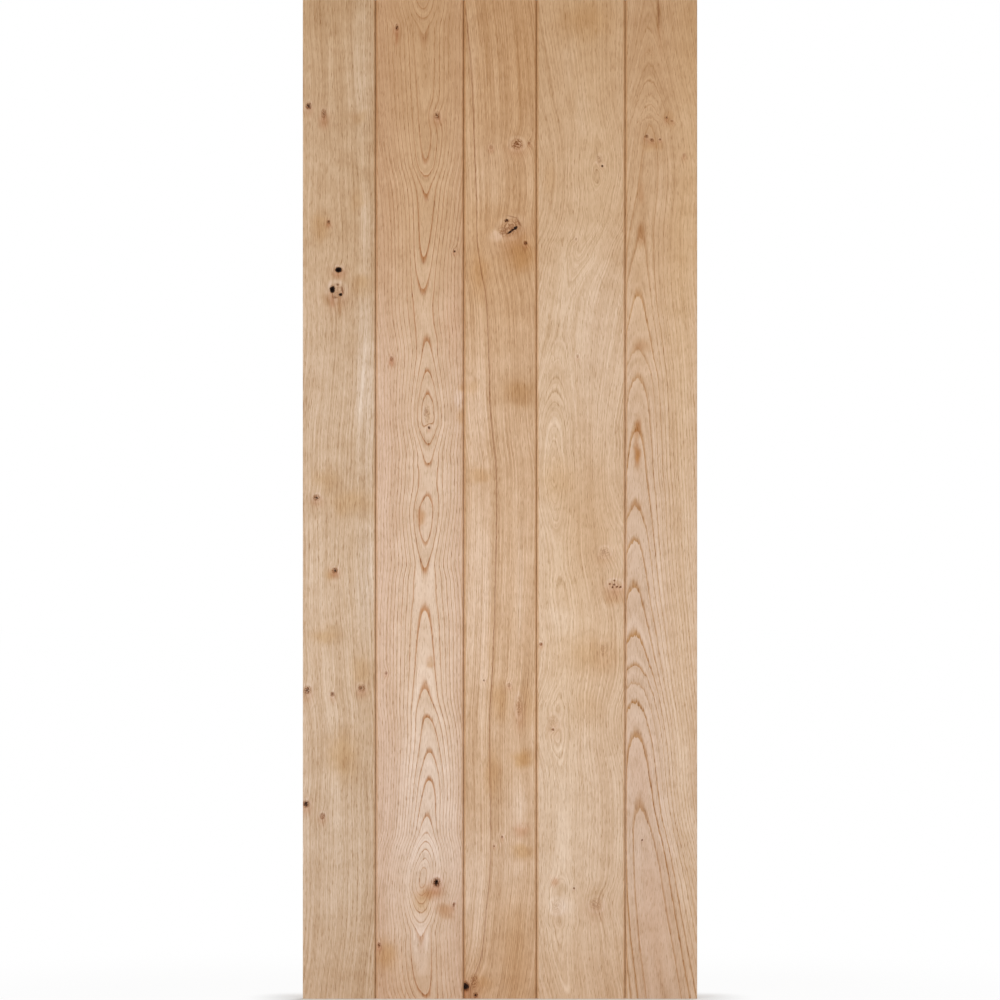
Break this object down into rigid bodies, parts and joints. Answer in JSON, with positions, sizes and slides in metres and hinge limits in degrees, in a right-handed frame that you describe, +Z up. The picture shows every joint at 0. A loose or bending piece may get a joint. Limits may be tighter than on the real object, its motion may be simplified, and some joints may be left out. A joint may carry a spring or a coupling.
{
  "type": "ledged and braced door",
  "caption": "Boarded oak door leaf of tongued and grooved boards with V joints, stiffened on the back by chamfered ledges and by braces notched into them.",
  "frame": {"origin": "foot of the hinge edge, in the middle of the boards' thickness", "axes": "+X from the hinge edge to the latch edge, +Y from the board side to the ledge side, +Z up"},
  "size_m": [0.762, 0.04, 1.93],
  "materials": {
    "boards": "planed rustic oak, unvarnished",
    "ledges": "planed oak, unvarnished",
    "braces": "planed oak, unvarnished"
  },
  "bodies": {
    "root": {"hinge_board": "boards", "inner_hinge_board": "boards", "centre_board": "boards", "inner_latch_board": "boards", "latch_board": "boards", "bottom_ledge": "ledges", "middle_ledge": "ledges", "top_ledge": "ledges", "lower_brace": "braces", "upper_brace": "braces"}
  },
  "joints": []
}
